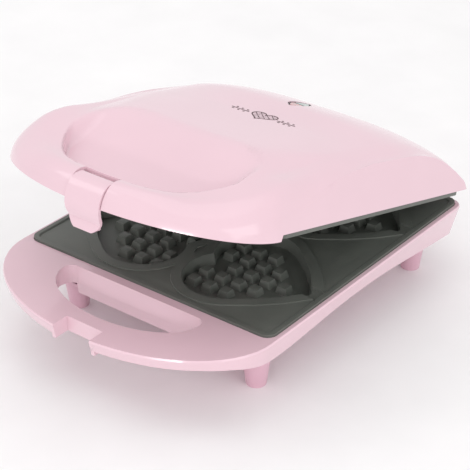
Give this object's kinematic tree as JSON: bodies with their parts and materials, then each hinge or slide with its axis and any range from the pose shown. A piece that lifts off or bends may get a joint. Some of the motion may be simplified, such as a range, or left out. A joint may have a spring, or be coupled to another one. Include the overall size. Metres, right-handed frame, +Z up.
{
  "type": "waffle maker",
  "caption": "Countertop waffle maker with a D-shaped handle, a domed hinged lid with grip pocket and swinging latch clip, and dark heart-shaped cooking moulds above and below.",
  "frame": {"origin": "centre of the object's footprint, on the surface it stands on, with the lid standing open as stored", "axes": "+Z up, -Y towards the handle and latch, +Y towards the hinge, +X to the right as seen from the front"},
  "size_m": [0.2074, 0.305, 0.1469],
  "materials": {
    "housing_pink": "glossy moulded plastic",
    "cover_pink": "satin moulded plastic",
    "nonstick_coating": "cast aluminium with a dark satin non-stick coating",
    "steel": "zinc-plated",
    "aluminised_sheet": "aluminised sheet",
    "element_sheath": "oxidised sheath",
    "red_lens": "translucent red",
    "green_lens": "translucent grey-green",
    "bezel_grey": "dark grey",
    "ceramic": "off-white ceramic",
    "lamp_glass": "clear",
    "grommet_black": "matt black"
  },
  "bodies": {
    "base": {"base_housing": "housing_pink", "bottom_cover": "cover_pink", "lower_plate": "nonstick_coating", "lower_heating_element": "element_sheath", "lower_reflector": "aluminised_sheet", "thermostat": "ceramic", "terminal_block": "ceramic", "cord_inlet_bush": "grommet_black", "hinge_pin_left": "steel", "hinge_pin_right": "steel", "screw_foot_left_front": "steel", "screw_foot_left_rear": "steel", "screw_foot_right_front": "steel", "screw_foot_right_rear": "steel", "screw_lower_plate_front": "steel", "screw_lower_plate_middle": "steel", "screw_lower_plate_rear": "steel"},
    "lid": {"lid_housing": "housing_pink", "lid_inner_frame": "cover_pink", "lid_bar_cover": "cover_pink", "upper_plate": "nonstick_coating", "upper_heating_element": "element_sheath", "upper_reflector": "aluminised_sheet", "indicator_bezel": "bezel_grey", "lens_red": "red_lens", "lens_green": "green_lens", "lamp_red": "lamp_glass", "lamp_green": "lamp_glass", "lamp_holder": "ceramic", "latch_pin": "steel", "screw_lid_left_front": "steel", "screw_lid_left_rear": "steel", "screw_lid_right_front": "steel", "screw_lid_right_rear": "steel", "screw_upper_plate_front": "steel", "screw_upper_plate_middle": "steel", "screw_upper_plate_rear": "steel"},
    "latch": {"latch_clip": "housing_pink"}
  },
  "joints": [
    {"name": "lid_hinge", "type": "hinge", "parent": "base", "child": "lid", "pos_m": [0, 0.1475, 0.052], "axis": [-1, 0, 0], "range_deg": [-15.75, 79.25]},
    {"name": "latch_pivot", "type": "hinge", "parent": "lid", "child": "latch", "pos_m": [0, -0.12252, 0.1427], "axis": [1, 0, 0], "range_deg": [-30, 4]}
  ]
}
